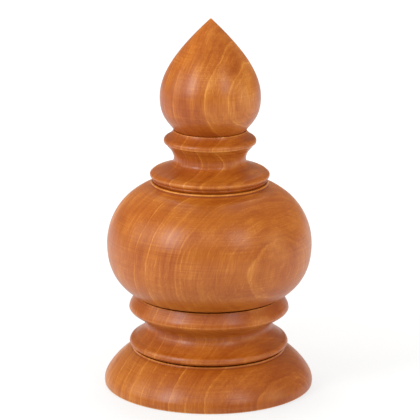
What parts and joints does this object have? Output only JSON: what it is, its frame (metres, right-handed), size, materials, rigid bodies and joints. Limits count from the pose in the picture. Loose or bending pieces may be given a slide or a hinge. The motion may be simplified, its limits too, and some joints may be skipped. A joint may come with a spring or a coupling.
{
  "type": "giant chess piece",
  "caption": "Large turned hardwood lawn chess piece: flared foot, ringed waist with a cove, round body, disc collar and onion-shaped pointed top, on a rubber base pad.",
  "frame": {"origin": "centre of the footprint, on the underside of the base pad, where the piece stands", "axes": "+Z is the turning axis, from the foot up to the pointed tip; the object is round about it, and two of the pad screws lie on the diagonal of +X and +Y"},
  "size_m": [0.225, 0.225, 0.4],
  "materials": {
    "turned_wood": "satin oiled orange-brown hardwood with pale growth lines and fine lathe marks",
    "dowel_wood": "bare pale hardwood, dull",
    "pad_rubber": "matte black, finely grained",
    "screw_steel": "plain stainless"
  },
  "bodies": {
    "root": {"base_foot": "turned_wood", "waist_spool": "turned_wood", "body_bulb": "turned_wood", "collar": "turned_wood", "finial": "turned_wood", "base_dowel": "dowel_wood", "waist_dowel": "dowel_wood", "collar_dowel": "dowel_wood", "finial_dowel": "dowel_wood", "base_pad": "pad_rubber", "pad_screw_1": "screw_steel", "pad_screw_2": "screw_steel", "pad_screw_3": "screw_steel", "pad_screw_4": "screw_steel"}
  },
  "joints": []
}
